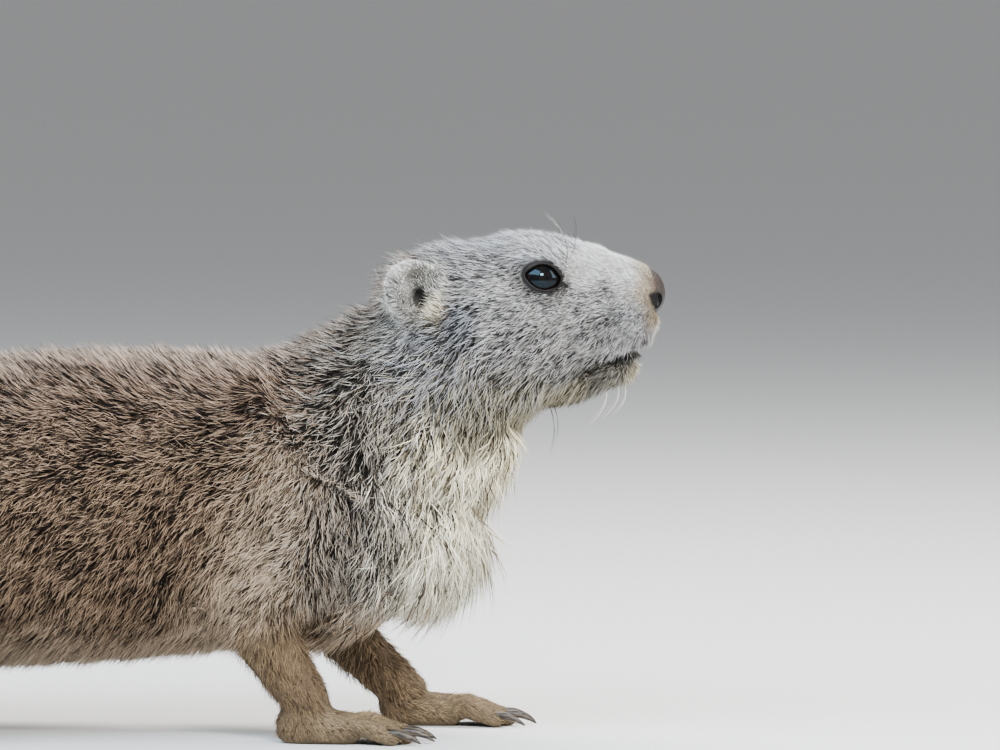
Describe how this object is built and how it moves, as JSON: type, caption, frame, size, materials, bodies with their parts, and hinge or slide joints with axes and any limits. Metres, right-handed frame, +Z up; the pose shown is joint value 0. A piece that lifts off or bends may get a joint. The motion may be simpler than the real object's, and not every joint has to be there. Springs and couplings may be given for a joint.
{
  "type": "alpine marmot figure",
  "caption": "Life-size young alpine marmot standing with its head raised, chest ruff and bushy tail, as a still model.",
  "frame": {"origin": "on the floor, at the middle of the model's footprint box", "axes": "+X towards the nose, +Y to the animal's left, +Z up"},
  "size_m": [0.506, 0.1176, 0.1717],
  "materials": {
    "coat_back": "fur, grizzled brown and cream",
    "coat_head": "short grey fur",
    "coat_throat": "long cream fur",
    "coat_legs": "buff fur",
    "coat_tail": "long dark brown fur",
    "nose": "bare dark skin, moist",
    "eye": "glossy black",
    "claw": "dark horn"
  },
  "bodies": {
    "root": {"torso": "coat_back", "neck": "coat_throat", "head": "coat_head", "nose": "nose", "tail": "coat_tail", "ear_left": "coat_head", "ear_right": "coat_head", "eye_left": "eye", "eye_right": "eye", "leg_fore_left": "coat_legs", "paw_fore_left": "coat_legs", "claw_fore_left_1": "claw", "claw_fore_left_2": "claw", "claw_fore_left_3": "claw", "claw_fore_left_4": "claw", "leg_fore_right": "coat_legs", "paw_fore_right": "coat_legs", "claw_fore_right_1": "claw", "claw_fore_right_2": "claw", "claw_fore_right_3": "claw", "claw_fore_right_4": "claw", "leg_hind_left": "coat_legs", "paw_hind_left": "coat_legs", "claw_hind_left_1": "claw", "claw_hind_left_2": "claw", "claw_hind_left_3": "claw", "claw_hind_left_4": "claw", "claw_hind_left_5": "claw", "leg_hind_right": "coat_legs", "paw_hind_right": "coat_legs", "claw_hind_right_1": "claw", "claw_hind_right_2": "claw", "claw_hind_right_3": "claw", "claw_hind_right_4": "claw", "claw_hind_right_5": "claw"}
  },
  "joints": []
}
